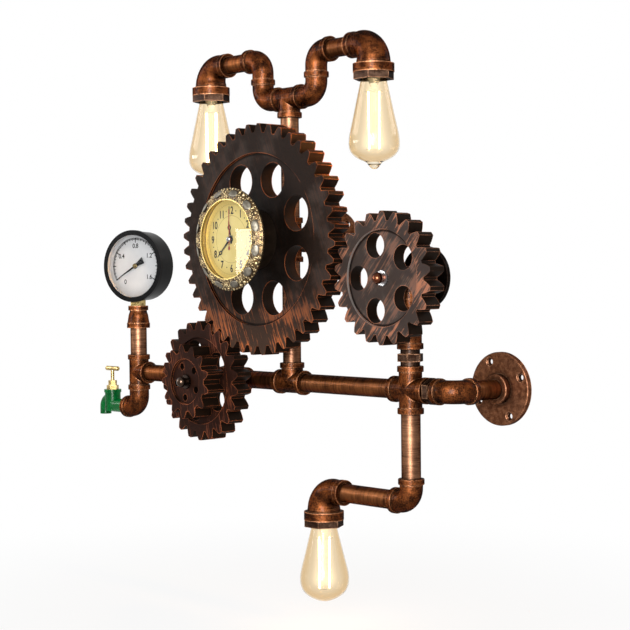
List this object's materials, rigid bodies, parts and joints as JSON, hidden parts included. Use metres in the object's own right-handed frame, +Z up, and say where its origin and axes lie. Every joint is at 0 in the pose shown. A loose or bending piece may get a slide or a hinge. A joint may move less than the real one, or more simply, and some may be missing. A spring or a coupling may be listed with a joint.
{
  "type": "wall sconce",
  "caption": "Wall sconce built of antique copper pipe with hanging filament bulbs, meshed gears, a round clock, a pressure gauge and a small tap.",
  "frame": {"origin": "centre of the right wall flange's back face, on the wall", "axes": "+X to the right along the wall, +Y into the wall, +Z up"},
  "size_m": [0.6809, 0.1758, 0.6452],
  "materials": {
    "antique_pipe": "antique copper over steel pipe, brushed",
    "antique_fitting": "antique copper over malleable iron, dark in the hollows",
    "gear_paint": "thick board painted charcoal brown with copper dry-brushed edges",
    "steel": "dulled",
    "nut_plate": "worn nickel plate",
    "black_metal": "gloss black",
    "antique_gold": "antique gold on raised pattern",
    "cream_dial": "printed",
    "white_dial": "printed",
    "black_hand": "satin black",
    "red_hand": "satin red",
    "black_plastic": "moulded",
    "clear_glass": "clear",
    "amber_glass": "amber tint",
    "filament": "glowing",
    "holder_ceramic": "glazed",
    "bulb_cap": "plated",
    "lead_sheath": "flexible sheath",
    "brass": "polished",
    "green_enamel": "gloss green enamel"
  },
  "bodies": {
    "frame": {"axle_washers": "steel", "ball_nuts": "nut_plate", "bar_cross": "antique_fitting", "bar_pipe_left": "antique_pipe", "bar_pipe_middle": "antique_pipe", "bar_pipe_right": "antique_pipe", "bulb_caps": "bulb_cap", "bulb_filaments": "filament", "bulb_glasses": "amber_glass", "bulb_stems": "clear_glass", "clock_bezel": "antique_gold", "clock_cup": "black_metal", "clock_dial": "cream_dial", "clock_lens": "clear_glass", "clock_movement": "black_plastic", "column_blank_flange": "antique_fitting", "column_extension": "antique_fitting", "column_tee": "antique_fitting", "compound_tee": "antique_fitting", "drop_arm_pipe": "antique_pipe", "drop_pipe": "antique_pipe", "gauge_case": "black_metal", "gauge_dial": "white_dial", "gauge_lens": "clear_glass", "gauge_movement": "brass", "gauge_reducer": "antique_fitting", "gauge_riser": "antique_pipe", "gauge_stem": "brass", "gauge_tee": "antique_fitting", "gear_axles": "steel", "hex_nipples": "antique_fitting", "hub_tube": "steel", "lamp_bushes": "antique_fitting", "lamp_elbows": "antique_fitting", "lamp_holders": "holder_ceramic", "lamp_nipples": "antique_pipe", "mains_leads": "lead_sheath", "middle_tee": "antique_fitting", "plain_elbows": "antique_fitting", "post_cross": "antique_fitting", "post_flange": "antique_fitting", "post_pipe_lower": "antique_pipe", "post_pipe_upper": "antique_pipe", "street_elbows": "antique_fitting", "tap_body": "green_enamel", "tap_bonnet": "brass", "top_tee": "antique_fitting", "wall_flange": "antique_fitting", "wall_nipples": "antique_pipe"},
    "big_gear": {"big_gear": "gear_paint"},
    "right_gear": {"right_gear": "gear_paint"},
    "left_gear": {"left_gear": "gear_paint", "pinion": "gear_paint"},
    "second_hand": {"second_hand": "red_hand"},
    "minute_hand": {"minute_hand": "black_hand"},
    "hour_hand": {"hour_hand": "black_hand"},
    "gauge_pointer": {"gauge_pointer": "black_hand"},
    "tap_spindle": {"tap_spindle": "brass"},
    "tap_jumper": {"tap_jumper": "brass"}
  },
  "joints": [
    {"name": "big_gear_spin", "type": "hinge", "parent": "frame", "child": "big_gear", "pos_m": [-0.25558, -0.077, 0.16633], "axis": [0, 1, 0], "continuous": true},
    {"name": "right_gear_spin", "type": "hinge", "parent": "frame", "child": "right_gear", "pos_m": [-0.0645, -0.077, 0.12116], "axis": [0, 1, 0], "continuous": true},
    {"name": "left_gear_spin", "type": "hinge", "parent": "frame", "child": "left_gear", "pos_m": [-0.35992, -0.077, 0], "axis": [0, 1, 0], "continuous": true},
    {"name": "second_hand_turn", "type": "hinge", "parent": "frame", "child": "second_hand", "pos_m": [-0.25558, -0.077, 0.16633], "axis": [0, 1, 0], "continuous": true},
    {"name": "minute_hand_turn", "type": "hinge", "parent": "frame", "child": "minute_hand", "pos_m": [-0.25558, -0.077, 0.16633], "axis": [0, 1, 0], "continuous": true},
    {"name": "hour_hand_turn", "type": "hinge", "parent": "frame", "child": "hour_hand", "pos_m": [-0.25558, -0.077, 0.16633], "axis": [0, 1, 0], "continuous": true},
    {"name": "pointer_sweep", "type": "hinge", "parent": "frame", "child": "gauge_pointer", "pos_m": [-0.55692, -0.077, 0.139], "axis": [-0.2756, 0.9613, 0], "range_deg": [0, 240], "stiffness_Nm_per_rad": 0.0005},
    {"name": "tap_turn", "type": "hinge", "parent": "frame", "child": "tap_spindle", "pos_m": [-0.61692, -0.077, -0.0465], "axis": [0, 0, 1], "range_deg": [0, 540]},
    {"name": "jumper_lift", "type": "slide", "parent": "frame", "child": "tap_jumper", "axis": [0, 0, 1], "range_m": [0, 0.003]}
  ],
  "couplings": [
    {"joint": "right_gear_spin", "follows": "big_gear_spin", "ratio": -2},
    {"joint": "left_gear_spin", "follows": "big_gear_spin", "ratio": -2},
    {"joint": "minute_hand_turn", "follows": "second_hand_turn", "ratio": 0.016667},
    {"joint": "hour_hand_turn", "follows": "second_hand_turn", "ratio": 0.0013889},
    {"joint": "jumper_lift", "follows": "tap_turn", "m_per_rad": 0.00031831}
  ]
}
